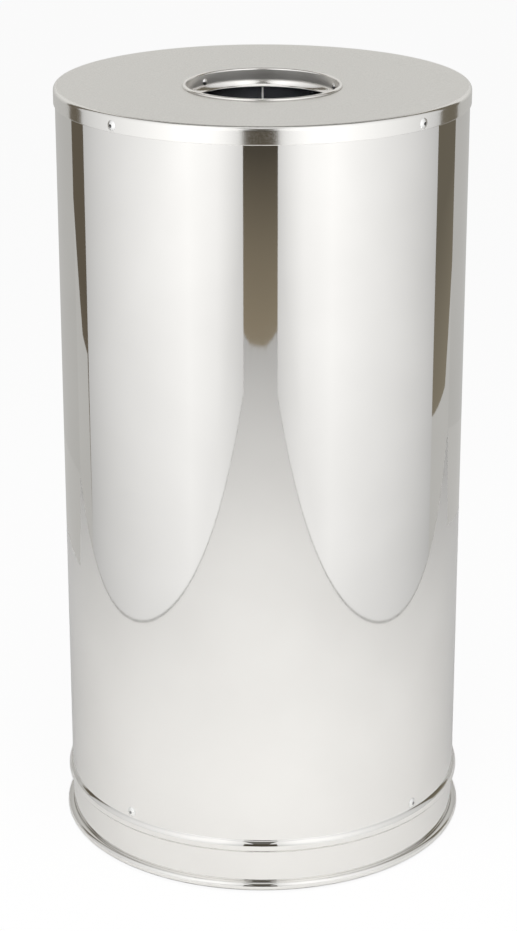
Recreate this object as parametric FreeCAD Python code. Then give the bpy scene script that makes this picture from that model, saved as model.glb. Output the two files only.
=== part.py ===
import FreeCAD
import Part
import math
import os

# A round trash can: a polished steel shell on a rolled foot ring, a lift-off cover with a
# collared throat, and a lift-out liner with two drop handles.
# Millimetres, +Z up. The origin is on the floor, on the can's axis, and the front of the
# can faces -Y. An azimuth is in degrees from the front towards +X.

# Shell: a rolled sheet with a swaged bead near its foot, butt-welded up the back
shell_radius = 185.0
shell_sheet = 0.9
shell_height = 694.5
shell_bead_start = 36.2
shell_bead_reach = 3.5
shell_bead_radius = 7.0
shell_bead_fillet = 1.0
weld_width = 1.8
weld_rise = 0.4
weld_end_gap = 3.0
seam_line_width = 0.7
seam_line_depth = 0.15

# Foot ring: a rolled ring with a lip that the shell stands on
foot_ring_sheet = 1.0
foot_ring_radius = 4.2
foot_ring_reach = 5.5
foot_ring_lip = 10.0
foot_ring_fit = 0.05
floor_clearance = 1.5

# Base pan: the can's floor, with an upturned flange riveted into the shell
pan_sheet = 1.0
pan_fit = 0.05
pan_bend = 6.0
pan_edge = 7.4
pan_ground_gap = 12.0

# Feet: rubber bumpers under the pan
foot_inset = 8.3
foot_azimuth = 45.0
foot_top_radius = 18.0
foot_bottom_radius = 15.0
foot_edge = 2.0
foot_recess_radius = 7.0
foot_web = 4.0

# Cover: a dished disc with a rolled-over skirt and a flanged hole
cover_sheet = 0.9
cover_gap = 0.5
skirt_height = 15.7
skirt_overlap = 1.7
cover_edge_bend = 4.0
cover_dish = 3.0
hole_bend = 2.5
hole_flange = 9.1

# Throat collar: a ring with a rolled lip that lines the cover's hole
collar_sheet = 1.0
collar_radius = 68.2
collar_fit = 0.05
lip_width = 3.4
lip_height = 2.4
collar_wall = 8.2
collar_curl_radius = 8.0
collar_curl_turn = 50.0

# Cover clips: joggled strips that seat on the shell's edge and centre the cover
clip_sheet = 0.8
clip_width = 26.0
clip_gap = 0.3
clip_top_gap = 1.6
clip_outer_bend = 0.9
clip_inner_bend = 0.2
clip_leg = 17.0
clip_lead_bend = 3.0
clip_lead_turn = 18.0
clip_lead = 7.0

# Large blind rivets, in the skirt, the base and the feet
rivet_head_radius = 4.75
rivet_head_height = 1.7
rivet_shank_radius = 2.4
rivet_tail_radius = 3.4
rivet_tail_length = 4.0
rivet_stem_radius = 1.6
rivet_stem_depth = 1.6

# Small blind rivets, in the throat and the liner
small_head_radius = 3.2
small_head_height = 1.2
small_shank_radius = 1.6
small_tail_radius = 2.3
small_tail_length = 3.0
small_stem_radius = 0.95
small_stem_depth = 1.0

# Every rivet's clearance in its hole, and how far it reaches into a sheet before the cut
rivet_hole_gap = 0.05
rivet_bite = 0.2

# Rivet places
cover_rivet_azimuth = 47.0
base_rivet_azimuth = 49.0
base_rivet_gap = 0.2
throat_rivet_count = 3
throat_rivet_azimuth = 110.0
throat_rivet_drop = 6.5

# Liner: a galvanised can with swaged beads, a wired rim and a set-in bottom
liner_gap = 12.1
liner_sheet = 0.7
liner_headroom = 64.0
liner_bead_rise = 150.0
liner_bead_drop = 170.0
liner_bead_radius = 4.0
liner_bead_reach = 2.5
liner_bead_fillet = 2.0
rim_wire_radius = 3.0
rim_wire_fit = 0.3
rim_turn = 275.0
liner_bottom_flange = 12.0
liner_bottom_bend = 2.0
liner_bottom_fit = 0.05
liner_seam_width = 7.0
liner_seam_rise = 1.2
liner_seam_end_gap = 10.0

# Drop handles: bent wire loops that swing in lugs inside the liner
handle_azimuths = {"right": 90.0, "left": 270.0}
handle_wire_radius = 3.0
handle_width = 80.0
handle_reach = 62.0
handle_bend = 10.0
handle_end_gap = 2.0
handle_stand_off = 11.3
handle_drop = 40.0
lug_width = 36.0
lug_height = 46.0
lug_corner = 6.0
lug_plate = 2.0
lug_wall = 2.6
lug_bore_gap = 0.1
lug_fit = 0.05
lug_rivet_offset = 16.0

# One overrun serves every cut
overrun = 5.0

CORNERS = ["front_right", "back_right", "back_left", "front_left"]
BACK = 180.0
RIGHT = 90.0
QUARTER_TURN = 90.0
HALF_TURN = 180.0
FULL_TURN = 360.0
OUTWARDS, UP, DOWN = 0.0, 90.0, 270.0
ORIGIN = FreeCAD.Vector(0, 0, 0)
X_AXIS = FreeCAD.Vector(1, 0, 0)
Y_AXIS = FreeCAD.Vector(0, 1, 0)
Z_AXIS = FreeCAD.Vector(0, 0, 1)

# Radii that pieces share
shell_bore = shell_radius - shell_sheet
foot_ring_centre = shell_radius + foot_ring_reach - foot_ring_radius
foot_ring_bore = foot_ring_centre - foot_ring_lip
foot_circle = foot_ring_bore - foot_inset - foot_top_radius
pan_radius = shell_bore - pan_fit
skirt_bore = shell_radius + cover_gap
skirt_radius = skirt_bore + cover_sheet
flange_bore = collar_radius + collar_sheet + collar_fit
lip_radius = collar_radius + lip_width
liner_radius = shell_bore - liner_gap
liner_bore = liner_radius - liner_sheet
rim_curl_radius = rim_wire_radius + rim_wire_fit
handle_radius = liner_bore - handle_stand_off
lug_seat = liner_bore - lug_fit
lug_face = math.sqrt(lug_seat ** 2 - (lug_width / 2) ** 2) - lug_plate
large_hole = rivet_shank_radius + rivet_hole_gap
small_hole = small_shank_radius + rivet_hole_gap


def bead_swing(reach, radius, fillet):
    """The angle, in radians, that each fillet of a rounded bead turns through."""
    return math.acos(1 - reach / (fillet + radius))


shell_bead_swing = bead_swing(shell_bead_reach, shell_bead_radius, shell_bead_fillet)
shell_bead_height = 2 * (shell_bead_radius + shell_bead_fillet) * math.sin(shell_bead_swing)

# Heights that pieces share
shell_bottom = floor_clearance + foot_ring_sheet
shell_top = shell_bottom + shell_height
shell_bead_top = shell_bottom + shell_bead_start + shell_bead_height
base_rivet_height = shell_bead_top + base_rivet_gap + rivet_head_radius
pan_floor = pan_ground_gap + pan_sheet
pan_top = base_rivet_height + pan_edge
weld_start = pan_top + weld_end_gap
skirt_bottom = shell_top - skirt_overlap
cover_height = skirt_bottom + skirt_height
skirt_top = cover_height - cover_edge_bend
cover_rivet_height = (skirt_bottom + skirt_top) / 2
clip_top = skirt_top - clip_top_gap
liner_top = shell_top - liner_headroom
liner_bead_starts = [pan_floor + liner_bead_rise, liner_top - liner_bead_drop]
rim_curl_height = liner_top - rim_curl_radius - liner_sheet
handle_height = liner_top - handle_drop
lug_rivet_heights = [handle_height - lug_rivet_offset, handle_height + lug_rivet_offset]

# The dished disc falls towards the hole at this angle, in radians
dish_angle = math.atan(cover_dish / (skirt_radius - flange_bore))


def disc_height(radius):
    """Height of the cover's upper face at a radius on the dished disc."""
    start_radius = skirt_radius - cover_edge_bend * (1 + math.sin(dish_angle))
    start_height = cover_height - cover_edge_bend * (1 - math.cos(dish_angle))
    return start_height - (start_radius - radius) * math.tan(dish_angle)


lip_foot = disc_height(lip_radius)
lip_spring = lip_foot + lip_height - lip_width / 2
throat_rivet_height = lip_spring - throat_rivet_drop


def evenly(count, first):
    """Azimuths of a count of places, evenly spaced round the can."""
    return [first + FULL_TURN * index / count for index in range(count)]


base_rivet_azimuths = evenly(len(CORNERS), base_rivet_azimuth)
cover_rivet_azimuths = evenly(len(CORNERS), cover_rivet_azimuth)
throat_rivet_azimuths = evenly(throat_rivet_count, throat_rivet_azimuth)
foot_azimuths = evenly(len(CORNERS), foot_azimuth)


class SheetPath:
    """A bent sheet's section in the (radius, height) half plane.

    The path runs along one face of the sheet, from a start point and heading, in
    straight runs and tangent bends. The sheet lies on the path's left, or on its
    right where the thickness is negative. A bend's radius is that of the path's face.
    """

    def __init__(self, radius, height, heading, thickness):
        self.radius = radius
        self.height = height
        self.heading = heading
        self.thickness = thickness
        self.face = []
        self.back = []
        self.start = self.both_faces()

    def direction(self, heading):
        angle = math.radians(heading)
        return FreeCAD.Vector(math.cos(angle), 0, math.sin(angle))

    def both_faces(self):
        """The path's point, and the point behind it on the sheet's other face."""
        point = FreeCAD.Vector(self.radius, 0, self.height)
        return point, point + self.direction(self.heading + QUARTER_TURN) * self.thickness

    def run(self, length):
        before = self.both_faces()
        step = self.direction(self.heading) * length
        self.radius += step.x
        self.height += step.z
        after = self.both_faces()
        self.face.append(Part.LineSegment(before[0], after[0]).toShape())
        self.back.append(Part.LineSegment(before[1], after[1]).toShape())

    def run_to_radius(self, radius):
        self.run((radius - self.radius) / self.direction(self.heading).x)

    def run_to_height(self, height):
        self.run((height - self.height) / self.direction(self.heading).z)

    def bend(self, radius, turn):
        """Bends left by a positive turn, in degrees, and right by a negative one."""
        side = math.copysign(QUARTER_TURN, turn)
        stops = [self.both_faces()]
        centre = stops[0][0] + self.direction(self.heading + side) * radius
        start_heading = self.heading
        for turn_share in (0.5, 1):
            self.heading = start_heading + turn * turn_share
            spot = centre - self.direction(self.heading + side) * radius
            self.radius, self.height = spot.x, spot.z
            stops.append(self.both_faces())
        self.face.append(Part.Arc(*[stop[0] for stop in stops]).toShape())
        self.back.append(Part.Arc(*[stop[1] for stop in stops]).toShape())

    def bead(self, reach, radius, fillet):
        """A rounded bead that stands out to the path's right."""
        swing = math.degrees(bead_swing(reach, radius, fillet))
        self.bend(fillet, -swing)
        self.bend(radius, 2 * swing)
        self.bend(fillet, -swing)

    def section(self):
        """The closed section as a face."""
        end_cap = Part.LineSegment(*self.both_faces()).toShape()
        start_cap = Part.LineSegment(*self.start).toShape()
        return Part.Face(Part.Wire(self.face + [end_cap] + self.back[::-1] + [start_cap]))

    def spun(self):
        """The section turned once about the can's axis."""
        return self.section().revolve(ORIGIN, Z_AXIS, FULL_TURN)

    def swept(self, width, at_radius):
        """A strip of the spun sheet, that wide at a radius, centred on +X."""
        angle = math.degrees(width / at_radius)
        section = self.section().rotated(ORIGIN, Z_AXIS, -angle / 2)
        return section.revolve(ORIGIN, Z_AXIS, angle)


def faced(shape, azimuth):
    """A shape that was made facing +X, turned to face an azimuth."""
    return shape.rotated(ORIGIN, Z_AXIS, azimuth - RIGHT)


def centred_box(near_radius, far_radius, width, bottom, top):
    """A block between two radii on +X, centred across its width."""
    corner = FreeCAD.Vector(near_radius, -width / 2, bottom)
    return Part.makeBox(far_radius - near_radius, width, top - bottom, corner)


def drilled(shape, hole_radius, inner, outer, heights, azimuths):
    """A walled shape with a radial hole at each height and azimuth."""
    length = outer - inner + 2 * overrun
    cutters = []
    for height in heights:
        start = FreeCAD.Vector(inner - overrun, 0, height)
        cutter = Part.makeCylinder(hole_radius, length, start, X_AXIS)
        cutters += [faced(cutter, azimuth) for azimuth in azimuths]
    return shape.cut(cutters)


def blind_rivet(grip, head, shank, tail, stem):
    """A set blind rivet along +X, with its head's underside at the origin.

    Each of head, tail and stem is a (radius, length) pair. The head and the tail reach
    into the sheets by rivet_bite, so that cutting the sheets away seats them.
    """
    head_radius, head_height = head
    tail_radius, tail_length = tail
    stem_radius, stem_depth = stem
    dome_radius = (head_radius ** 2 + head_height ** 2) / (2 * head_height)
    dome_centre = FreeCAD.Vector(head_height - dome_radius, 0, 0)
    blank_start = FreeCAD.Vector(-rivet_bite, 0, 0)
    blank = Part.makeCylinder(head_radius, head_height + rivet_bite, blank_start, X_AXIS)
    dome = blank.common(Part.makeSphere(dome_radius, dome_centre))
    body = Part.makeCylinder(shank, grip, ORIGIN, X_AXIS * -1)
    bulb_start = FreeCAD.Vector(rivet_bite - grip, 0, 0)
    bulb = Part.makeCylinder(tail_radius, tail_length + rivet_bite, bulb_start, X_AXIS * -1)
    far_rim = min(bulb.Edges, key=lambda edge: edge.BoundBox.XMax)
    bulb = bulb.makeFillet(tail_radius / 2, [far_rim])
    recess_start = FreeCAD.Vector(head_height - stem_depth, 0, 0)
    recess = Part.makeCylinder(stem_radius, stem_depth + overrun, recess_start, X_AXIS)
    return dome.fuse([body, bulb]).cut(recess).removeSplitter()


def large_rivet(grip):
    head = (rivet_head_radius, rivet_head_height)
    tail = (rivet_tail_radius, rivet_tail_length)
    stem = (rivet_stem_radius, rivet_stem_depth)
    return blind_rivet(grip, head, rivet_shank_radius, tail, stem)


def small_rivet(grip):
    head = (small_head_radius, small_head_height)
    tail = (small_tail_radius, small_tail_length)
    stem = (small_stem_radius, small_stem_depth)
    return blind_rivet(grip, head, small_shank_radius, tail, stem)


def radial_rivets(rivet, face_radius, heights, azimuths, sheets):
    """Rivets set along radii, with their heads seated on a face of the sheets."""
    rivets = []
    for height in heights:
        seated = rivet.translated(FreeCAD.Vector(face_radius, 0, height))
        rivets += [faced(seated, azimuth).cut(sheets) for azimuth in azimuths]
    return Part.makeCompound(rivets)


def headed_inwards(rivet):
    return rivet.rotated(ORIGIN, Z_AXIS, HALF_TURN)


def outer_shell():
    """The beaded sheet, its inner weld up the back and the fine seam line outside."""
    sheet = SheetPath(shell_radius, shell_bottom, UP, shell_sheet)
    sheet.run(shell_bead_start)
    sheet.bead(shell_bead_reach, shell_bead_radius, shell_bead_fillet)
    sheet.run_to_height(shell_top)
    weld = centred_box(
        shell_bore - weld_rise,
        shell_radius - shell_sheet / 2,
        weld_width,
        weld_start,
        shell_top,
    )
    seam_line = centred_box(
        shell_radius - seam_line_depth,
        shell_radius + overrun,
        seam_line_width,
        weld_start,
        shell_top + overrun,
    )
    shell = sheet.spun().fuse(faced(weld, BACK)).cut(faced(seam_line, BACK))
    return drilled(
        shell, large_hole, shell_bore, shell_radius, [base_rivet_height], base_rivet_azimuths
    )


def foot_ring():
    """A lip under the shell's edge that rolls out, up and back onto the shell."""
    sheet = SheetPath(foot_ring_bore, floor_clearance, OUTWARDS, foot_ring_sheet)
    sheet.run_to_radius(foot_ring_centre)
    sheet.bend(foot_ring_radius, HALF_TURN)
    sheet.run_to_radius(shell_radius + foot_ring_fit)
    return sheet.spun()


def base_pan():
    """The can's floor and its flange, with holes for the base's and the feet's rivets."""
    sheet = SheetPath(pan_radius, pan_top, DOWN, -pan_sheet)
    sheet.run_to_height(pan_ground_gap + pan_bend)
    sheet.bend(pan_bend, -QUARTER_TURN)
    sheet.run_to_radius(0)
    foot_hole_start = FreeCAD.Vector(foot_circle, 0, pan_ground_gap - overrun)
    foot_hole = Part.makeCylinder(large_hole, pan_sheet + 2 * overrun, foot_hole_start)
    pan = sheet.spun().cut([faced(foot_hole, azimuth) for azimuth in foot_azimuths])
    return drilled(
        pan,
        large_hole,
        pan_radius - pan_sheet,
        pan_radius,
        [base_rivet_height],
        base_rivet_azimuths,
    )


def foot(azimuth):
    """A tapered rubber bumper, recessed for its rivet."""
    bumper = Part.makeCone(foot_bottom_radius, foot_top_radius, pan_ground_gap)
    low_rim = min(bumper.Edges, key=lambda edge: edge.BoundBox.ZMax)
    bumper = bumper.makeFillet(foot_edge, [low_rim])
    below = FreeCAD.Vector(0, 0, -overrun)
    recess = Part.makeCylinder(foot_recess_radius, pan_ground_gap - foot_web + overrun, below)
    hole = Part.makeCylinder(large_hole, pan_ground_gap + 2 * overrun, below)
    bumper = bumper.cut([recess, hole])
    return faced(bumper.translated(FreeCAD.Vector(foot_circle, 0, 0)), azimuth)


def foot_rivets(feet, pan):
    """Upright rivets, headed in the feet's recesses and set on the pan's floor."""
    upright = large_rivet(foot_web + pan_sheet).rotated(ORIGIN, Y_AXIS, QUARTER_TURN)
    seated = upright.translated(FreeCAD.Vector(foot_circle, 0, pan_ground_gap - foot_web))
    rivets = []
    for azimuth, bumper in zip(foot_azimuths, feet):
        rivets.append(faced(seated, azimuth).cut([bumper, pan]))
    return Part.makeCompound(rivets)


def cover_top():
    """The dished disc with its skirt outside and its flange round the hole."""
    sheet = SheetPath(skirt_radius, skirt_bottom, UP, cover_sheet)
    sheet.run_to_height(skirt_top)
    fall = math.degrees(dish_angle)
    sheet.bend(cover_edge_bend, QUARTER_TURN + fall)
    sheet.run_to_radius(flange_bore + hole_bend * (1 - math.sin(dish_angle)))
    sheet.bend(hole_bend, QUARTER_TURN - fall)
    sheet.run(hole_flange)
    cover = drilled(
        sheet.spun(),
        large_hole,
        skirt_bore,
        skirt_radius,
        [cover_rivet_height],
        cover_rivet_azimuths,
    )
    return drilled(
        cover,
        small_hole,
        flange_bore,
        flange_bore + cover_sheet,
        [throat_rivet_height],
        throat_rivet_azimuths,
    )


def throat_collar():
    """The rolled lip on the disc, the throat's wall and its curled lower edge."""
    sheet = SheetPath(lip_radius, lip_foot, UP, collar_sheet)
    sheet.run_to_height(lip_spring)
    sheet.bend(lip_width / 2, HALF_TURN)
    sheet.run(collar_wall)
    sheet.bend(collar_curl_radius, -collar_curl_turn)
    return drilled(
        sheet.spun(),
        small_hole,
        collar_radius,
        collar_radius + collar_sheet,
        [throat_rivet_height],
        throat_rivet_azimuths,
    )


def cover_clip(azimuth):
    """A strip riveted in the skirt, stepped over the shell's edge and down inside it."""
    strip = SheetPath(skirt_bore, clip_top, DOWN, -clip_sheet)
    strip.run_to_height(shell_top + clip_outer_bend)
    strip.bend(clip_outer_bend, -QUARTER_TURN)
    strip.run_to_radius(shell_bore - clip_gap + clip_inner_bend)
    strip.bend(clip_inner_bend, QUARTER_TURN)
    strip.run(clip_leg)
    strip.bend(clip_lead_bend, -clip_lead_turn)
    strip.run(clip_lead)
    clip = faced(strip.swept(clip_width, skirt_bore), azimuth)
    return drilled(
        clip, large_hole, skirt_bore - clip_sheet, skirt_bore, [cover_rivet_height], [azimuth]
    )


def liner_wall():
    """The rolled wall with its swaged beads, curled rim and folded seam up the back."""
    sheet = SheetPath(liner_radius, pan_floor, UP, liner_sheet)
    for bead_start in liner_bead_starts:
        sheet.run_to_height(bead_start)
        sheet.bead(liner_bead_reach, liner_bead_radius, liner_bead_fillet)
    sheet.run_to_height(rim_curl_height)
    sheet.bend(rim_curl_radius, -rim_turn)
    seam = centred_box(
        liner_radius - liner_sheet / 2,
        liner_radius + liner_seam_rise,
        liner_seam_width,
        pan_floor,
        rim_curl_height - liner_seam_end_gap,
    )
    wall = sheet.spun().fuse(faced(seam, BACK))
    return drilled(
        wall, small_hole, liner_bore, liner_radius, lug_rivet_heights, handle_azimuths.values()
    )


def liner_bottom():
    """The set-in bottom: a flange inside the wall and a raised disc."""
    pan = SheetPath(liner_bore - liner_bottom_fit, pan_floor, UP, liner_sheet)
    pan.run(liner_bottom_flange - liner_bottom_bend)
    pan.bend(liner_bottom_bend, QUARTER_TURN)
    pan.run_to_radius(0)
    return pan.spun()


def liner_rim_wire():
    """The stiffening wire inside the curled rim."""
    centre = FreeCAD.Vector(0, 0, rim_curl_height)
    return Part.makeTorus(liner_radius + rim_curl_radius, rim_wire_radius, centre, Z_AXIS)


def liner_lug(azimuth):
    """A plate shaped to the liner's wall that carries a bored barrel for the handle."""
    low = handle_height - lug_height / 2
    high = handle_height + lug_height / 2
    plate = centred_box(lug_face, lug_seat + overrun, lug_width, low, high)
    corners = [edge for edge in plate.Edges if edge.BoundBox.XLength > lug_plate]
    plate = plate.makeFillet(lug_corner, corners)
    barrel_radius = handle_wire_radius + lug_bore_gap + lug_wall
    barrel_end = FreeCAD.Vector(handle_radius, -lug_width / 2, handle_height)
    barrel = Part.makeCylinder(barrel_radius, lug_width, barrel_end, Y_AXIS)
    neck = centred_box(
        handle_radius,
        lug_face + lug_plate / 2,
        lug_width,
        handle_height - barrel_radius,
        handle_height + barrel_radius,
    )
    bore_end = barrel_end - Y_AXIS * overrun
    bore_radius = handle_wire_radius + lug_bore_gap
    bore = Part.makeCylinder(bore_radius, lug_width + 2 * overrun, bore_end, Y_AXIS)
    seat_start = FreeCAD.Vector(0, 0, low - overrun)
    seat = Part.makeCylinder(lug_seat, lug_height + 2 * overrun, seat_start)
    lug = plate.fuse([barrel, neck]).common(seat).cut(bore).removeSplitter()
    lug = drilled(lug, small_hole, lug_face, lug_seat, lug_rivet_heights, [RIGHT])
    return faced(lug, azimuth)


def rounded_path(points, bend_radius):
    """A path of straight runs through points, with a tangent arc at each corner."""
    edges = []
    start = points[0]
    for before, corner, after in zip(points, points[1:], points[2:]):
        arriving = (corner - before).normalize()
        leaving = (after - corner).normalize()
        half_turn = arriving.getAngle(leaving) / 2
        setback = bend_radius * math.tan(half_turn)
        bend_start = corner - arriving * setback
        bend_end = corner + leaving * setback
        inwards = (leaving - arriving).normalize()
        middle = corner + inwards * (bend_radius / math.cos(half_turn) - bend_radius)
        edges.append(Part.LineSegment(start, bend_start).toShape())
        edges.append(Part.Arc(bend_start, middle, bend_end).toShape())
        start = bend_end
    edges.append(Part.LineSegment(start, points[-1]).toShape())
    return Part.Wire(edges)


def liner_handle(azimuth):
    """A hanging wire loop whose two ends meet inside the lug's barrel."""
    half_width = handle_width / 2
    grip_height = handle_height - handle_reach
    places = [
        (handle_end_gap / 2, handle_height),
        (half_width, handle_height),
        (half_width, grip_height),
        (-half_width, grip_height),
        (-half_width, handle_height),
        (-handle_end_gap / 2, handle_height),
    ]
    points = [FreeCAD.Vector(handle_radius, across, height) for across, height in places]
    path = rounded_path(points, handle_bend)
    section = Part.Wire(Part.makeCircle(handle_wire_radius, points[0], Y_AXIS))
    return faced(path.makePipeShell([section], True, False), azimuth)


def lug_rivets(wall, lugs):
    """Small rivets, headed on the lugs' plates and set outside the liner's wall."""
    rivet = headed_inwards(small_rivet(liner_radius - lug_face))
    sheets = [wall] + lugs
    return radial_rivets(
        rivet, lug_face, lug_rivet_heights, handle_azimuths.values(), sheets
    )


def body_pieces():
    """The pieces of the can's body, by name."""
    shell = outer_shell()
    pan = base_pan()
    feet = [foot(azimuth) for azimuth in foot_azimuths]
    base_grip = shell_sheet + pan_fit + pan_sheet
    pieces = {
        "outer_shell": shell,
        "foot_ring": foot_ring(),
        "base_pan": pan,
        "base_rivets": radial_rivets(
            large_rivet(base_grip),
            shell_radius,
            [base_rivet_height],
            base_rivet_azimuths,
            [shell, pan],
        ),
        "foot_rivets": foot_rivets(feet, pan),
    }
    for corner, bumper in zip(CORNERS, feet):
        pieces["foot_" + corner] = bumper
    return pieces


def cover_pieces():
    """The pieces that lift off with the cover, by name."""
    cover = cover_top()
    collar = throat_collar()
    clips = [cover_clip(azimuth) for azimuth in cover_rivet_azimuths]
    throat_grip = collar_sheet + collar_fit + cover_sheet
    pieces = {
        "cover_top": cover,
        "throat_collar": collar,
        "cover_rivets": radial_rivets(
            large_rivet(cover_sheet + clip_sheet),
            skirt_radius,
            [cover_rivet_height],
            cover_rivet_azimuths,
            [cover] + clips,
        ),
        "throat_rivets": radial_rivets(
            headed_inwards(small_rivet(throat_grip)),
            collar_radius,
            [throat_rivet_height],
            throat_rivet_azimuths,
            [cover, collar],
        ),
    }
    for corner, clip in zip(CORNERS, clips):
        pieces["cover_clip_" + corner] = clip
    return pieces


def liner_pieces():
    """The pieces of the lift-out liner and its handles, by name."""
    wall = liner_wall()
    lugs = {side: liner_lug(azimuth) for side, azimuth in handle_azimuths.items()}
    pieces = {
        "liner_wall": wall,
        "liner_bottom": liner_bottom(),
        "liner_rim_wire": liner_rim_wire(),
        "liner_lug_rivets": lug_rivets(wall, list(lugs.values())),
    }
    for side, azimuth in handle_azimuths.items():
        pieces["liner_lug_" + side] = lugs[side]
        pieces["liner_handle_" + side] = liner_handle(azimuth)
    return pieces


def main():
    os.makedirs("parts", exist_ok=True)
    for pieces in (body_pieces(), cover_pieces(), liner_pieces()):
        for name, shape in pieces.items():
            shape.exportStep(f"parts/{name}.step")


main()
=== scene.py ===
import math

import bpy
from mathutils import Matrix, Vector


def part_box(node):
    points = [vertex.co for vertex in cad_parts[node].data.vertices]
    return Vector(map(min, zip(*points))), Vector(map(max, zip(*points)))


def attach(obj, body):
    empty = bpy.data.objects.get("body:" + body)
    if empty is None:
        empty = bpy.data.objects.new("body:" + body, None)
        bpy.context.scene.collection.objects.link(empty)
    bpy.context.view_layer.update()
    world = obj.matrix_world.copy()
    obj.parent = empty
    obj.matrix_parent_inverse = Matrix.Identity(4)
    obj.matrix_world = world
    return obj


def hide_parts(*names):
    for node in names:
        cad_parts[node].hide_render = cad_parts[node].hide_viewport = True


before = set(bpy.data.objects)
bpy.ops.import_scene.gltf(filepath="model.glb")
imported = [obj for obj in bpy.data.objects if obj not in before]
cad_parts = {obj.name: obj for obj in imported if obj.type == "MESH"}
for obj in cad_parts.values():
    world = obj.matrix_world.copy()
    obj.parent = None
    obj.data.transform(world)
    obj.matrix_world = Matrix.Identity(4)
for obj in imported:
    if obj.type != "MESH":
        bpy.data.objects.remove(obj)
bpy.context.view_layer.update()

# The looks of a round trash can: a mirror-polished shell on a rolled foot ring, a satin
# cover with a polished throat, and a galvanised liner inside.
# Metres, +Z up. The front of the can faces -Y. An azimuth is in degrees from the front
# towards +X.

MM = 0.001

# Shell: a rolled sheet with a swaged bead, butt-welded up the back
shell_sheet = 0.9 * MM
shell_bead_start = 36.2 * MM
shell_bead_reach = 3.5 * MM
shell_bead_radius = 7.0 * MM
shell_bead_fillet = 1.0 * MM
weld_width = 1.8 * MM
weld_rise = 0.4 * MM
weld_gap = 3.0 * MM
weld_taper = 4.0 * MM
seam_line_width = 0.7 * MM
seam_line_depth = 0.15 * MM
weld_column_shares = (1.0, 0.7, 0.39, 0.2, 0.1)

# Foot ring: a lip under the shell that rolls out, up and back
foot_ring_sheet = 1.0 * MM
foot_ring_bend = 4.2 * MM
foot_ring_lip = 10.0 * MM
foot_ring_fit = 0.05 * MM

# Cover: a dished disc with a rolled-over skirt and a flanged hole
cover_sheet = 0.9 * MM
cover_edge_bend = 4.0 * MM
cover_dish = 3.0 * MM
hole_bend = 2.5 * MM
hole_flange = 9.1 * MM

# Throat collar: a ring with a rolled lip
collar_sheet = 1.0 * MM
collar_fit = 0.05 * MM
lip_width = 3.4 * MM
lip_height = 2.4 * MM
collar_wall = 8.2 * MM
collar_curl_radius = 8.0 * MM
collar_curl_turn = 50.0

# How finely the round pieces are cut
columns = 360
bend_step = 5.0
least_bend_steps = 6
edge_steps = 6
wall_steps = 24
disc_steps = 12
hold = 0.4 * MM

BACK = 180.0
QUARTER_TURN = 90.0
HALF_TURN = 180.0
FULL_TURN = 360.0
OUTWARDS, UP = 0.0, 90.0

# Places that the frame gives. A node's box is its low corner and its high corner
shell_low, shell_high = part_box("outer_shell")
shell_radius = shell_high.x - shell_bead_reach
pan_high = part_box("base_pan")[1]
weld_start = pan_high.z + weld_gap
foot_ring_low, foot_ring_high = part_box("foot_ring")
cover_low, cover_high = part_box("cover_top")
skirt_radius = cover_high.x
collar_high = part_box("throat_collar")[1]
lip_radius = collar_high.x
collar_radius = lip_radius - lip_width
flange_bore = collar_radius + collar_sheet + collar_fit
dish_angle = math.atan(cover_dish / (skirt_radius - flange_bore))


def compass(heading):
    """The unit step along a heading in the (radius, height) half plane."""
    angle = math.radians(heading)
    return Vector((math.cos(angle), math.sin(angle)))


class SheetPath:
    """A bent sheet's section, drawn along one face in straight runs and tangent bends.

    The sheet lies on the path's left. Both of its ends are rounded over, so the path
    starts and stops half a sheet short of them.
    """

    def __init__(self, radius, height, heading, sheet):
        self.sheet = sheet
        self.heading = heading
        self.spot = Vector((radius, height)) + compass(heading) * sheet / 2
        self.face = []
        self.back = []
        self.mark()
        self.start_heading = heading

    def mark(self):
        self.face.append(self.spot.copy())
        self.back.append(self.spot + compass(self.heading + QUARTER_TURN) * self.sheet)

    def run(self, length, steps=1):
        """Runs straight on. Marks held close to both ends keep its shading straight too."""
        reaches = [length * step / steps for step in range(1, steps)]
        if length > 2 * hold:
            reaches = [hold] + reaches + [length - hold]
        start = self.spot
        for reach in reaches + [length]:
            self.spot = start + compass(self.heading) * reach
            self.mark()

    def run_to_radius(self, radius, steps=1):
        self.run((radius - self.spot.x) / compass(self.heading).x, steps)

    def run_to_height(self, height, steps=1):
        self.run((height - self.spot.y) / compass(self.heading).y, steps)

    def bend(self, radius, turn):
        """Bends left by a positive turn, in degrees, and right by a negative one."""
        side = math.copysign(QUARTER_TURN, turn)
        centre = self.spot + compass(self.heading + side) * radius
        start_heading = self.heading
        steps = max(least_bend_steps, math.ceil(abs(turn) / bend_step))
        for step in range(1, steps + 1):
            self.heading = start_heading + turn * step / steps
            self.spot = centre - compass(self.heading + side) * radius
            self.mark()

    def bead(self, reach, radius, fillet):
        """A rounded bead that stands out to the path's right."""
        swing = math.degrees(math.acos(1 - reach / (fillet + radius)))
        self.bend(fillet, -swing)
        self.bend(radius, 2 * swing)
        self.bend(fillet, -swing)

    def rounded_end(self, near, far, heading):
        """The points of a half round from one face's end to the other's."""
        centre = (near + far) / 2
        ahead = compass(heading) * self.sheet / 2
        turns = [math.pi * step / edge_steps for step in range(1, edge_steps)]
        return [centre + (near - centre) * math.cos(t) + ahead * math.sin(t) for t in turns]

    def outline(self):
        """The closed section: one face, an end, the other face and the other end."""
        end = self.rounded_end(self.face[-1], self.back[-1], self.heading)
        start = self.rounded_end(self.back[0], self.face[0], self.start_heading + HALF_TURN)
        return self.face + end + self.back[::-1] + start

    def back_rows(self):
        """Where the sheet's other face lies in the outline."""
        first = len(self.face) + edge_steps - 1
        return range(first, first + len(self.back) - 1)


def evenly(count):
    return [FULL_TURN * index / count for index in range(count)]


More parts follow.
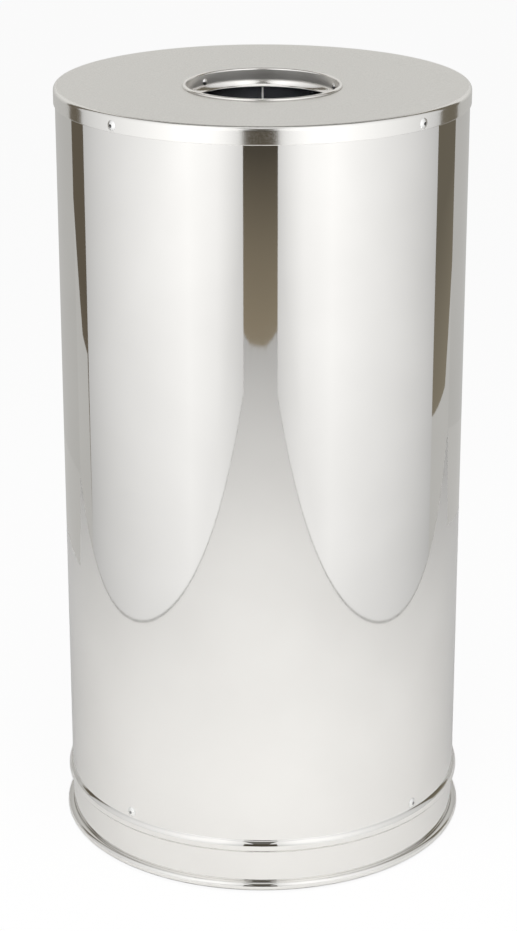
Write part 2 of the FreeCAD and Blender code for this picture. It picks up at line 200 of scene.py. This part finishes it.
def spun(name, outline, azimuths, relief=None):
    """A closed section turned once about the can's axis.

    Relief gives how far a point moves outwards, from its place in the outline and its
    azimuth. Faces run row by row along the outline.
    """
    vertices = []
    for row, point in enumerate(outline):
        for azimuth in azimuths:
            radius = point.x + (relief(row, azimuth) if relief else 0)
            angle = math.radians(azimuth)
            vertices.append((radius * math.sin(angle), -radius * math.cos(angle), point.y))
    faces = []
    count = len(azimuths)
    for row in range(len(outline)):
        this_row = row * count
        next_row = (row + 1) % len(outline) * count
        for column in range(count):
            beside = (column + 1) % count
            faces.append(
                (this_row + column, this_row + beside, next_row + beside, next_row + column)
            )
    mesh = bpy.data.meshes.new(name)
    mesh.from_pydata(vertices, [], faces)
    mesh.shade_smooth()
    piece = bpy.data.objects.new(name, mesh)
    bpy.context.scene.collection.objects.link(piece)
    return piece


def dressed(piece, body, node, slot, *finishes):
    """A piece that stands for a node, rides on its body and wears these finishes."""
    for finish in finishes:
        piece.data.materials.append(finish)
    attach(piece, body)
    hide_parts(node)
    return piece


# Materials

# Noise mostly lies between these two values
noise_low = 0.3
noise_high = 0.7

# How far up the cover's sheet faces where its skirt ends and its disc starts
skirt_facing = 0.8
disc_facing = 0.97

# How large the blotches, lines and grains of the finishes are, and how deep their relief is
polish_haze = 80.0 * MM
polish_line = 0.9 * MM
polish_line_stretch = (1, 1, 60)
sheet_wave = 160.0 * MM
sheet_wave_depth = 0.02 * MM
satin_grain = 1.3 * MM
brushing_line = 0.25 * MM
brushing_depth = 0.004 * MM
turning_line = 0.3 * MM
turning_depth = 0.003 * MM
turning_haze = 30.0 * MM
inside_cloud = 40.0 * MM
inside_peel = 2.5 * MM
inside_peel_depth = 0.03 * MM
weld_ripple = 1.2 * MM
weld_ripple_stretch = (6, 6, 1)
weld_ripple_depth = 0.08 * MM
rivet_recess = 2.5 * MM
rivet_scuff = 0.6 * MM
rivet_scuff_depth = 0.01 * MM
mill_streak = 1.5 * MM
mill_streak_stretch = (1, 40, 1)
mill_streak_depth = 0.005 * MM
mill_cloud = 35.0 * MM
spangle_size = 11.0 * MM
zinc_dimple = 3.0 * MM
zinc_dimple_depth = 0.02 * MM
plating_cloud = 6.0 * MM
plating_grain = 0.7 * MM
plating_grain_depth = 0.01 * MM
rubber_dust = 9.0 * MM
rubber_grain = 0.5 * MM
rubber_grain_depth = 0.02 * MM

# How pale the painted shade in the rivets' recesses is. In the photograph the base rivets'
# ones are paler
rivet_painted_shade_level = 0.35
base_rivet_painted_shade_level = 0.6


class Finish:
    """A procedural material: one shader, and helpers for the nodes that vary it."""

    def __init__(self, name, colour, metallic, roughness):
        self.material = bpy.data.materials.new(name)
        self.material.use_nodes = True
        self.tree = self.material.node_tree
        self.shader = self.tree.nodes["Principled BSDF"]
        self.shader.inputs["Base Color"].default_value = (*colour, 1)
        self.shader.inputs["Metallic"].default_value = metallic
        self.shader.inputs["Roughness"].default_value = roughness
        coordinates = self.add("ShaderNodeTexCoord")
        self.place = coordinates.outputs["Object"]
        self.facing = coordinates.outputs["Normal"]
        self.relief = None

    def add(self, kind, **settings):
        node = self.tree.nodes.new(kind)
        for name, value in settings.items():
            setattr(node, name, value)
        return node

    def join(self, output, node, socket):
        self.tree.links.new(output, node.inputs[socket])

    def noise(self, grain, detail=2.0, stretch=(1, 1, 1), place=None):
        """Noise with blotches about a grain across, drawn out along stretched axes."""
        mapping = self.add("ShaderNodeMapping")
        mapping.inputs["Scale"].default_value = [1 / (grain * share) for share in stretch]
        self.join(place or self.place, mapping, "Vector")
        noise = self.add("ShaderNodeTexNoise")
        noise.inputs["Scale"].default_value = 1
        noise.inputs["Detail"].default_value = detail
        self.join(mapping.outputs["Vector"], noise, "Vector")
        return noise.outputs["Fac"]

    def facing_up(self):
        """How far the surface faces up: 0 on a wall, 1 on a level top."""
        split = self.add("ShaderNodeSeparateXYZ")
        self.join(self.facing, split, "Vector")
        return split.outputs["Z"]

    def ring_place(self):
        """Coordinates that stay the same all round the can's axis."""
        flat = self.add("ShaderNodeVectorMath", operation="MULTIPLY")
        flat.inputs[1].default_value = (1, 1, 0)
        self.join(self.place, flat, 0)
        length = self.add("ShaderNodeVectorMath", operation="LENGTH")
        self.join(flat.outputs["Vector"], length, 0)
        split = self.add("ShaderNodeSeparateXYZ")
        self.join(self.place, split, "Vector")
        ring = self.add("ShaderNodeCombineXYZ")
        self.join(length.outputs["Value"], ring, "X")
        self.join(split.outputs["Z"], ring, "Z")
        return ring.outputs["Vector"]

    def ranged(self, value, low, high, start=noise_low, stop=noise_high):
        """A value between start and stop, mapped from low to high."""
        node = self.add("ShaderNodeMapRange")
        node.inputs["From Min"].default_value = start
        node.inputs["From Max"].default_value = stop
        node.inputs["To Min"].default_value = low
        node.inputs["To Max"].default_value = high
        self.join(value, node, "Value")
        return node.outputs["Result"]

    def sum(self, one, other):
        node = self.add("ShaderNodeMath", operation="ADD")
        self.join(one, node, 0)
        self.join(other, node, 1)
        return node.outputs["Value"]

    def tint(self, value, one, other, start=noise_low, stop=noise_high):
        """Colours the surface from one colour to another as a value rises."""
        ramp = self.add("ShaderNodeValToRGB")
        ramp.color_ramp.elements[0].position = start
        ramp.color_ramp.elements[0].color = (*one, 1)
        ramp.color_ramp.elements[1].position = stop
        ramp.color_ramp.elements[1].color = (*other, 1)
        self.join(value, ramp, "Fac")
        self.join(ramp.outputs["Color"], self.shader, "Base Color")

    def roughen(self, value):
        self.join(value, self.shader, "Roughness")

    def bump(self, height, depth):
        """Adds relief that deep, on top of any relief added before."""
        node = self.add("ShaderNodeBump")
        node.inputs["Distance"].default_value = depth
        self.join(height, node, "Height")
        if self.relief:
            self.join(self.relief, node, "Normal")
        self.relief = node.outputs["Normal"]
        self.join(self.relief, self.shader, "Normal")


def polished_steel():
    """Mirror-polished stainless sheet: faint haze, upright polishing lines, a slow wave."""
    finish = Finish("mirror_polished_steel", (0.8, 0.79, 0.77), 1, 0.03)
    haze = finish.noise(polish_haze)
    finish.tint(haze, (0.79, 0.78, 0.76), (0.82, 0.81, 0.79))
    lines = finish.noise(polish_line, stretch=polish_line_stretch)
    finish.roughen(finish.ranged(lines, 0.022, 0.044))
    finish.bump(finish.noise(sheet_wave, detail=1.0), sheet_wave_depth)
    return finish.material


def satin_steel():
    """The cover's sheet: fine satin grain on the disc, brushed on the skirt, and painted light
    that makes the skirt paler.
    """
    finish = Finish("satin_steel", (0.82, 0.81, 0.785), 1, 0.4)
    grain = finish.noise(satin_grain)
    facing_up = finish.facing_up()
    # Painted light: the colour turns paler where the sheet faces sideways, on the skirt, than
    # on the level disc
    paler = finish.ranged(facing_up, 0.4, 0, start=skirt_facing, stop=disc_facing)
    finish.tint(finish.sum(grain, paler), (0.76, 0.75, 0.725), (0.88, 0.87, 0.845))
    duller = finish.ranged(facing_up, 0.13, 0.4, start=skirt_facing, stop=disc_facing)
    finish.roughen(finish.sum(duller, finish.ranged(grain, -0.03, 0.03)))
    brushing = finish.noise(brushing_line, place=finish.ring_place())
    finish.bump(brushing, brushing_depth)
    return finish.material


def collar_steel():
    """The spun throat ring: bright where it faces up, duller and finely lined on its wall."""
    finish = Finish("spun_collar_steel", (0.87, 0.855, 0.83), 1, 0.14)
    lines = finish.noise(turning_line, place=finish.ring_place())
    brighter = finish.ranged(finish.facing_up(), 0.32, 0.13, start=0.1, stop=0.5)
    finish.roughen(finish.sum(brighter, finish.ranged(lines, -0.04, 0.04)))
    finish.tint(finish.noise(turning_haze), (0.84, 0.825, 0.8), (0.9, 0.885, 0.86))
    finish.bump(lines, turning_depth)
    return finish.material


def dark_inside():
    """A near-black colour for the shell's inner face, with a slight orange-peel relief."""
    finish = Finish("dark_inner_face", (0.07, 0.07, 0.08), 0, 0.45)
    finish.tint(finish.noise(inside_cloud), (0.055, 0.055, 0.065), (0.085, 0.085, 0.1))
    peel = finish.noise(inside_peel)
    finish.roughen(finish.ranged(peel, 0.38, 0.52))
    finish.bump(peel, inside_peel_depth)
    return finish.material


def bare_weld():
    """The bare weld up the back of the shell, rippled along its length."""
    finish = Finish("bare_weld", (0.9, 0.89, 0.87), 0, 0.5)
    ripple = finish.noise(weld_ripple, stretch=weld_ripple_stretch)
    finish.tint(ripple, (0.84, 0.83, 0.81), (0.94, 0.93, 0.91))
    finish.roughen(finish.ranged(ripple, 0.45, 0.6))
    finish.bump(ripple, weld_ripple_depth)
    return finish.material


def rivet_aluminium(name, painted_shade_level):
    """Bright aluminium, dulled, and darkened by painted shade in the rivets' recesses."""
    finish = Finish(name, (0.86, 0.86, 0.85), 1, 0.25)
    recess = finish.add("ShaderNodeAmbientOcclusion")
    recess.inputs["Distance"].default_value = rivet_recess
    # Painted shade: where ambient occlusion finds a recess, the colour darkens towards this
    # level
    dark = (painted_shade_level, painted_shade_level, painted_shade_level)
    finish.tint(recess.outputs["AO"], dark, (0.88, 0.88, 0.87), start=0.5, stop=0.85)
    scuffs = finish.noise(rivet_scuff)
    finish.roughen(finish.ranged(scuffs, 0.18, 0.34))
    finish.bump(scuffs, rivet_scuff_depth)
    return finish.material


def plain_steel():
    """Cold-rolled mill steel with faint rolling streaks."""
    finish = Finish("mill_steel", (0.5, 0.5, 0.49), 1, 0.36)
    streaks = finish.noise(mill_streak, stretch=mill_streak_stretch)
    finish.tint(finish.noise(mill_cloud), (0.44, 0.44, 0.435), (0.56, 0.56, 0.55))
    finish.roughen(finish.ranged(streaks, 0.28, 0.44))
    finish.bump(streaks, mill_streak_depth)
    return finish.material


def galvanised_steel():
    """Hot-dipped zinc with a spangle of crystals."""
    finish = Finish("galvanised_steel", (0.6, 0.62, 0.63), 1, 0.4)
    spangle = finish.add("ShaderNodeTexVoronoi")
    spangle.inputs["Scale"].default_value = 1 / spangle_size
    finish.join(finish.place, spangle, "Vector")
    crystal = finish.add("ShaderNodeSeparateColor")
    finish.join(spangle.outputs["Color"], crystal, "Color")
    shade = crystal.outputs["Red"]
    finish.tint(shade, (0.48, 0.5, 0.51), (0.7, 0.72, 0.73), start=0, stop=1)
    finish.roughen(finish.ranged(shade, 0.3, 0.5, start=0, stop=1))
    finish.bump(finish.noise(zinc_dimple), zinc_dimple_depth)
    return finish.material


def zinc_wire():
    """Bright zinc plating on wire and lugs."""
    finish = Finish("zinc_plate", (0.72, 0.73, 0.74), 1, 0.26)
    cloud = finish.noise(plating_cloud)
    finish.tint(cloud, (0.64, 0.65, 0.67), (0.78, 0.79, 0.79))
    finish.roughen(finish.ranged(cloud, 0.2, 0.34))
    finish.bump(finish.noise(plating_grain), plating_grain_depth)
    return finish.material


def black_rubber():
    """Moulded rubber, matt and a little dusty."""
    finish = Finish("black_rubber", (0.025, 0.025, 0.025), 0, 0.7)
    dust = finish.noise(rubber_dust)
    finish.tint(dust, (0.018, 0.018, 0.018), (0.045, 0.044, 0.042))
    finish.roughen(finish.ranged(dust, 0.6, 0.82))
    finish.bump(finish.noise(rubber_grain), rubber_grain_depth)
    return finish.material


# Pieces

def shell_relief(path):
    """The inner weld and the outer seam line up the back, as a change of radius."""
    outline = path.outline()
    inside = path.back_rows()

    def relief(row, azimuth):
        aside = abs(math.radians(azimuth - BACK)) * shell_radius
        grown = min(1, max(0, (outline[row].y - weld_start) / weld_taper))
        width = weld_width if row in inside else seam_line_width
        depth = weld_rise if row in inside else seam_line_depth
        across = min(1, aside / (width / 2))
        return -depth * grown * math.cos(across * math.pi / 2) ** 2

    return relief


def polished_shell():
    """The beaded shell, polished outside and near-black inside, with its weld left bare."""
    path = SheetPath(shell_radius, shell_low.z, UP, shell_sheet)
    path.run_to_height(shell_low.z + shell_bead_start)
    path.bead(shell_bead_reach, shell_bead_radius, shell_bead_fillet)
    path.run_to_height(weld_start)
    path.run(weld_taper)
    path.run_to_height(shell_high.z - shell_sheet / 2, wall_steps)
    weld_half_angle = math.degrees(weld_width / 2 / shell_radius)
    weld_offsets = [share * weld_half_angle for share in weld_column_shares]
    weld_azimuths = [BACK + side * offset for offset in weld_offsets for side in (-1, 1)]
    azimuths = sorted(evenly(columns) + weld_azimuths)
    shell = spun("polished_shell", path.outline(), azimuths, shell_relief(path))
    inside = path.back_rows()
    heights = [point.y for point in path.outline()]
    for index, polygon in enumerate(shell.data.polygons):
        row, column = divmod(index, len(azimuths))
        if row in inside:
            on_weld = BACK - weld_half_angle <= azimuths[column] < BACK + weld_half_angle
            polygon.material_index = 2 if on_weld and heights[row] > weld_start else 1
    finishes = (polished_steel(), dark_inside(), bare_weld())
    return dressed(shell, "can_body", "outer_shell", "polished_steel", *finishes)


def rolled_foot_ring(finish):
    """The lip under the shell that rolls out, up and back onto the shell."""
    centre = foot_ring_high.x - foot_ring_bend
    path = SheetPath(centre - foot_ring_lip, foot_ring_low.z, OUTWARDS, foot_ring_sheet)
    path.run_to_radius(centre)
    path.bend(foot_ring_bend, HALF_TURN)
    path.run_to_radius(shell_radius + foot_ring_fit + foot_ring_sheet / 2)
    ring = spun("rolled_foot_ring", path.outline(), evenly(columns))
    return dressed(ring, "can_body", "foot_ring", "polished_steel", finish)


def satin_cover():
    """The dished disc with its rolled skirt and its flanged hole."""
    fall = math.degrees(dish_angle)
    path = SheetPath(skirt_radius, cover_low.z, UP, cover_sheet)
    path.run_to_height(cover_high.z - cover_edge_bend)
    path.bend(cover_edge_bend, QUARTER_TURN + fall)
    path.run_to_radius(flange_bore + hole_bend * (1 - math.sin(dish_angle)), disc_steps)
    path.bend(hole_bend, QUARTER_TURN - fall)
    path.run(hole_flange - cover_sheet / 2)
    cover = spun("satin_cover", path.outline(), evenly(columns))
    return dressed(cover, "cover", "cover_top", "satin_steel", satin_steel())


def polished_collar():
    """The rolled lip on the disc, the throat's wall and its curled lower edge."""
    lip_top = collar_high.z
    path = SheetPath(lip_radius, lip_top - lip_height, UP, collar_sheet)
    path.run_to_height(lip_top - lip_width / 2)
    path.bend(lip_width / 2, HALF_TURN)
    path.run(collar_wall)
    path.bend(collar_curl_radius, -collar_curl_turn)
    collar = spun("polished_collar", path.outline(), evenly(columns))
    return dressed(collar, "cover", "throat_collar", "collar_steel", collar_steel())


def paint(nodes, finish):
    """Gives nodes of the frame a finish."""
    for name in nodes:
        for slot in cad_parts[name].material_slots:
            slot.material = finish


def paint_frame():
    """Finishes for the nodes that keep their own shapes."""
    by_start = {
        # Both rivet finishes paint shade into their recesses; the base rivets' painted shade
        # is paler
        rivet_aluminium("rivet_aluminium", rivet_painted_shade_level): (
            "cover_rivets", "throat_rivets", "foot_rivets", "liner_lug_rivets",
        ),
        rivet_aluminium("base_rivet_aluminium", base_rivet_painted_shade_level): ("base_rivets",),
        plain_steel(): ("base_pan", "cover_clip_"),
        galvanised_steel(): ("liner_wall", "liner_bottom"),
        zinc_wire(): ("liner_rim_wire", "liner_lug_right", "liner_lug_left", "liner_handle_"),
        black_rubber(): ("foot_front_", "foot_back_"),
    }
    for finish, starts in by_start.items():
        paint([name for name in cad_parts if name.startswith(starts)], finish)


# Stage

# The floor, the fill light from all round, and how high the set stands
floor_reach = 30.0
floor_white_share = 0.95
floor_colour = (0.9, 0.895, 0.885)
fill_strength = 0.15
set_height = 2.0

# White boards beside the can, each from its front foot to its back foot. Their light varies
# along their length. It also fades towards their feet, but less so further back
board_feet = {
    "left": (Vector((-0.281, -1.61)), Vector((-0.829, 0.232))),
    "right": (Vector((0.22, -1.61)), Vector((0.835, 0.182))),
}
board_strength = 1.27
board_length_levels = ((0.0, 0.73), (0.3, 0.965), (0.48, 0.99), (0.7, 0.78), (1.0, 0.475))
board_foot_level = 0.8
board_full_height = 0.55
board_shadow_height = 3.0 * MM
board_shadow_colour = (0.46, 0.455, 0.445)
board_lean_share = 0.3
board_lean_start_share = 0.45

# Dark gaps behind the boards. The points of a gap's lower edge are given by how far they lie
# behind the board and how high they are. The gaps are lighter near their feet
gap_edges = {
    "left": ((0.0, 0.03), (0.02, 0.25), (0.13, 0.25), (0.35, 0.38)),
    "right": ((0.0, 0.18), (0.36, 0.13), (0.59, 0.245)),
}
gap_colours = {"left": (0.125, 0.105, 0.078), "right": (0.15, 0.132, 0.1)}
gap_foot_level = 1.7
gap_plain_height = 0.3

# The dim room in front, between the boards
carpet_lift = 3.0 * MM
carpet_far = -3.2
carpet_half_width = 0.6
carpet_near_edge = [(0.6, -2.03), (0.06, -1.86), (-0.2, -1.86), (-0.6, -1.975)]
carpet_near_colour = (0.29, 0.245, 0.175)
carpet_far_colour = (0.075, 0.065, 0.05)

# Dim ceilings in front and behind, each from its near left corner to its far right one
ceilings = {
    "front": (Vector((-0.28, -3.2)), Vector((0.22, -0.8))),
    "back": (Vector((-1.2, -0.1)), Vector((1.2, 1.5))),
}
ceiling_colours = {"front": (0.16, 0.155, 0.14), "back": (0.22, 0.215, 0.2)}

# The grey backdrop behind the can, paler towards its top and swept forward on the floor
wall_columns = 24
wall_low_colour = (0.52, 0.515, 0.5)
wall_high_colour = (0.76, 0.755, 0.735)
wall_grey_height = 0.5
wall_pale_height = 1.0
sweep_share = 0.7
sweep_colour = (0.55, 0.545, 0.53)

# A softbox above, and a narrower one in front for the inside of the throat
softbox_size = 1.2
softbox_power = 33.5
softbox_place = Vector((0, -0.5, 1.75))
softbox_target = Vector((0, -0.5, 0))
front_light_size = 0.5
front_light_power = 0.55
front_light_spread = 16.0
front_light_place = Vector((0, -2.6, 1.3))
front_light_target = Vector((0, 0.1, 0.69))


def stage_mesh(name, points, faces, material):
    """A plain part of the set, which is no part of the can."""
    mesh = bpy.data.meshes.new(name)
    mesh.from_pydata(points, [], faces)
    mesh.materials.append(material)
    part = bpy.data.objects.new(name, mesh)
    bpy.context.scene.collection.objects.link(part)
    return part


def reflected_only(name, points, faces, material):
    """A part of the set that shows only in the metal."""
    part = stage_mesh(name, points, faces, material)
    part.visible_camera = False
    part.visible_diffuse = False
    part.visible_shadow = False


class Glow:
    """A glowing finish for a part of the set, pale or dark."""

    def __init__(self, name, colour, strength=1.0):
        self.material = bpy.data.materials.new(name)
        self.material.use_nodes = True
        tree = self.material.node_tree
        self.nodes = tree.nodes
        self.links = tree.links
        self.nodes.clear()
        self.emission = self.nodes.new("ShaderNodeEmission")
        self.emission.inputs["Color"].default_value = (*colour, 1)
        self.emission.inputs["Strength"].default_value = strength
        self.output = self.nodes.new("ShaderNodeOutputMaterial")
        self.links.new(self.emission.outputs["Emission"], self.output.inputs["Surface"])

    def place(self, axis):
        """How far along an axis of its own box a point lies, from 0 to 1."""
        split = self.nodes.new("ShaderNodeSeparateXYZ")
        coordinates = self.nodes.new("ShaderNodeTexCoord")
        self.links.new(coordinates.outputs["Generated"], split.inputs["Vector"])
        return split.outputs[axis]

    def shade(self, value, stops):
        """Colours the glow by stops of (place, colour) along a value."""
        ramp = self.nodes.new("ShaderNodeValToRGB")
        elements = ramp.color_ramp.elements
        elements[0].position, elements[-1].position = stops[0][0], stops[-1][0]
        for place, colour in stops[1:-1]:
            elements.new(place)
        for element, (place, colour) in zip(elements, stops):
            element.color = (*colour, 1)
        self.links.new(value, ramp.inputs["Fac"])
        self.links.new(ramp.outputs["Color"], self.emission.inputs["Color"])

    def lean(self, value, other, share):
        """A value raised by a share of another."""
        node = self.nodes.new("ShaderNodeMath")
        node.operation = "MULTIPLY_ADD"
        self.links.new(other, node.inputs[0])
        node.inputs[1].default_value = share
        self.links.new(value, node.inputs[2])
        return node.outputs["Value"]

    def dim(self, value, low, high, start, stop):
        """Scales the strength from low to high as a value rises from start to stop."""
        level = self.nodes.new("ShaderNodeMapRange")
        level.inputs["From Min"].default_value = start
        level.inputs["From Max"].default_value = stop
        strength = self.emission.inputs["Strength"]
        level.inputs["To Min"].default_value = low * strength.default_value
        level.inputs["To Max"].default_value = high * strength.default_value
        self.links.new(value, level.inputs["Value"])
        self.links.new(level.outputs["Result"], strength)


def raised(points, height):
    """Points over a line of floor points."""
    return [(point.x, point.y, height) for point in points]


def strip(low, high):
    """Corners and faces of a strip between two lines of points."""
    count = len(low)
    faces = [(i, i + 1, count + i + 1, count + i) for i in range(count - 1)]
    return low + high, faces


def upright(points):
    """Corners and faces of a wall over a line of floor points."""
    return strip(raised(points, 0), raised(points, set_height))


def behind_board(side, reach):
    """The floor point that far behind a board, along its line."""
    front, back = board_feet[side]
    return back + (back - front).normalized() * reach


def gap_end(side):
    """The floor point where the dark gap behind a board stops."""
    reach, height = gap_edges[side][-1]
    return behind_board(side, reach)


def make_boards():
    """The white boards on either side, each over a thin shadow where it meets the floor."""
    white = Glow("board_white", (1, 1, 1), board_strength)
    stops = [(place, (level, level, level)) for place, level in board_length_levels]
    white.shade(white.place("Y"), stops)
    height = white.lean(white.place("Z"), white.place("Y"), board_lean_share)
    start = board_lean_share * board_lean_start_share
    white.dim(height, board_foot_level, 1, start, start + board_full_height / set_height)
    shadow = Glow("board_shadow", board_shadow_colour)
    for side, line in board_feet.items():
        edge = raised(line, board_shadow_height)
        reflected_only("board_" + side, *strip(edge, raised(line, set_height)), white.material)
        reflected_only("board_shadow_" + side, *strip(raised(line, 0), edge), shadow.material)


def make_gaps():
    """The dark gaps behind the boards, each over a grey foot that meets the floor."""
    grey = Glow("gap_foot_grey", sweep_colour)
    for side, edge in gap_edges.items():
        feet = [behind_board(side, reach) for reach, height in edge]
        rim = [(foot.x, foot.y, height) for foot, (reach, height) in zip(feet, edge)]
        dark = Glow("gap_dark_" + side, gap_colours[side])
        dark.dim(dark.place("Z"), gap_foot_level, 1, 0, gap_plain_height / set_height)
        reflected_only("gap_" + side, *strip(rim, raised(feet, set_height)), dark.material)
        reflected_only("gap_foot_" + side, *strip(raised(feet, 0), rim), grey.material)


def make_front_room():
    """The dim floor and the dark end of the room, seen between the boards."""
    ends = [Vector((-carpet_half_width, carpet_far)), Vector((carpet_half_width, carpet_far))]
    points = raised(ends, carpet_lift) + [(x, y, carpet_lift) for x, y in carpet_near_edge]
    carpet = Glow("dim_carpet", carpet_near_colour)
    carpet.shade(carpet.place("Y"), [(0, carpet_far_colour), (1, carpet_near_colour)])
    reflected_only("dim_carpet", points, [range(len(points))], carpet.material)
    dark = Glow("room_dark", carpet_far_colour)
    reflected_only("room_end", *upright(ends), dark.material)


def make_ceilings():
    """Dim ceilings with an open bright strip between them."""
    for name, (near, far) in ceilings.items():
        low = [(near.x, near.y, set_height), (far.x, near.y, set_height)]
        high = [(near.x, far.y, set_height), (far.x, far.y, set_height)]
        dim = Glow("ceiling_dim_" + name, ceiling_colours[name])
        reflected_only("ceiling_" + name, *strip(low, high), dim.material)


def make_backdrop():
    """A grey curve behind the can, from gap to gap, for the metal to reflect."""
    start, stop = gap_end("right"), gap_end("left")
    start_angle = math.atan2(start.x, -start.y)
    stop_angle = math.atan2(stop.x, -stop.y) + 2 * math.pi
    feet = []
    for column in range(wall_columns + 1):
        share = column / wall_columns
        angle = start_angle + (stop_angle - start_angle) * share
        radius = start.length + (stop.length - start.length) * share
        feet.append(Vector((math.sin(angle), -math.cos(angle))) * radius)
    grey = Glow("backdrop_grey", wall_low_colour)
    stops = [
        (wall_grey_height / set_height, wall_low_colour),
        (wall_pale_height / set_height, wall_high_colour),
    ]
    grey.shade(grey.place("Z"), stops)
    reflected_only("backdrop", *upright(feet), grey.material)
    fronts = [foot * sweep_share for foot in feet]
    sweep = Glow("sweep_grey", sweep_colour)
    points = strip(raised(fronts, carpet_lift), raised(feet, carpet_lift))
    reflected_only("backdrop_sweep", *points, sweep.material)


def make_floor():
    """A pale floor that shows white, and keeps a share of the can's shadow."""
    pale = Glow("pale_floor", (1, 1, 1))
    matt = pale.nodes.new("ShaderNodeBsdfDiffuse")
    matt.inputs["Color"].default_value = (*floor_colour, 1)
    share = pale.nodes.new("ShaderNodeMath")
    share.operation = "MULTIPLY"
    share.inputs[1].default_value = floor_white_share
    rays = pale.nodes.new("ShaderNodeLightPath")
    pale.links.new(rays.outputs["Is Camera Ray"], share.inputs[0])
    mix = pale.nodes.new("ShaderNodeMixShader")
    pale.links.new(share.outputs["Value"], mix.inputs["Fac"])
    pale.links.new(matt.outputs["BSDF"], mix.inputs[1])
    pale.links.new(pale.emission.outputs["Emission"], mix.inputs[2])
    pale.links.new(mix.outputs["Shader"], pale.output.inputs["Surface"])
    reach = floor_reach
    corners = [(-reach, -reach, 0), (reach, -reach, 0), (reach, reach, 0), (-reach, reach, 0)]
    stage_mesh("pale_floor", corners, [(0, 1, 2, 3)], pale.material)


def make_world():
    """A white surround for what the camera and the metal see, and a softer fill light."""
    world = bpy.data.worlds.new("white_surround")
    bpy.context.scene.world = world
    world.use_nodes = True
    nodes = world.node_tree.nodes
    links = world.node_tree.links
    rays = nodes.new("ShaderNodeLightPath")
    seen = rays.outputs["Is Camera Ray"]
    for kind in ("Is Glossy Ray", "Is Transmission Ray"):
        either = nodes.new("ShaderNodeMath")
        either.operation = "MAXIMUM"
        links.new(seen, either.inputs[0])
        links.new(rays.outputs[kind], either.inputs[1])
        seen = either.outputs["Value"]
    strength = nodes.new("ShaderNodeMapRange")
    strength.inputs["To Min"].default_value = fill_strength
    strength.inputs["To Max"].default_value = 1
    links.new(seen, strength.inputs["Value"])
    background = nodes["Background"]
    background.inputs["Color"].default_value = (1, 1, 1, 1)
    links.new(strength.outputs["Result"], background.inputs["Strength"])


def make_light(name, place, target, size, power, spread=HALF_TURN):
    """A round softbox that lights the set, but doesn't show itself in the metal."""
    light = bpy.data.lights.new(name, "AREA")
    light.shape = "DISK"
    light.size = size
    light.energy = power
    light.spread = math.radians(spread)
    lamp = bpy.data.objects.new(name, light)
    lamp.location = place
    lamp.rotation_euler = (target - place).to_track_quat("-Z", "Y").to_euler()
    lamp.visible_camera = False
    lamp.visible_glossy = False
    bpy.context.scene.collection.objects.link(lamp)


def make_lights():
    make_light("softbox", softbox_place, softbox_target, softbox_size, softbox_power)
    make_light(
        "front_light",
        front_light_place,
        front_light_target,
        front_light_size,
        front_light_power,
        front_light_spread,
    )


# The photograph's viewpoint: in front, looking down about 20 degrees
camera_place = (0, -2.2352, 1.1568)
camera_pitch = 70.102
camera_lens = 97.81
camera_sensor = 36.0
camera_shift = -0.0043


def make_camera():
    camera = bpy.data.cameras.new("camera")
    camera.sensor_width = camera_sensor
    camera.lens = camera_lens
    camera.shift_x = camera_shift
    eye = bpy.data.objects.new("camera", camera)
    eye.location = camera_place
    eye.rotation_euler = (math.radians(camera_pitch), 0, 0)
    bpy.context.scene.collection.objects.link(eye)
    bpy.context.scene.camera = eye


shell = polished_shell()
rolled_foot_ring(shell.data.materials[0])
satin_cover()
polished_collar()
paint_frame()
make_floor()
make_boards()
make_gaps()
make_front_room()
make_ceilings()
make_backdrop()
make_world()
make_lights()
make_camera()
bpy.context.scene.view_settings.view_transform = "Standard"
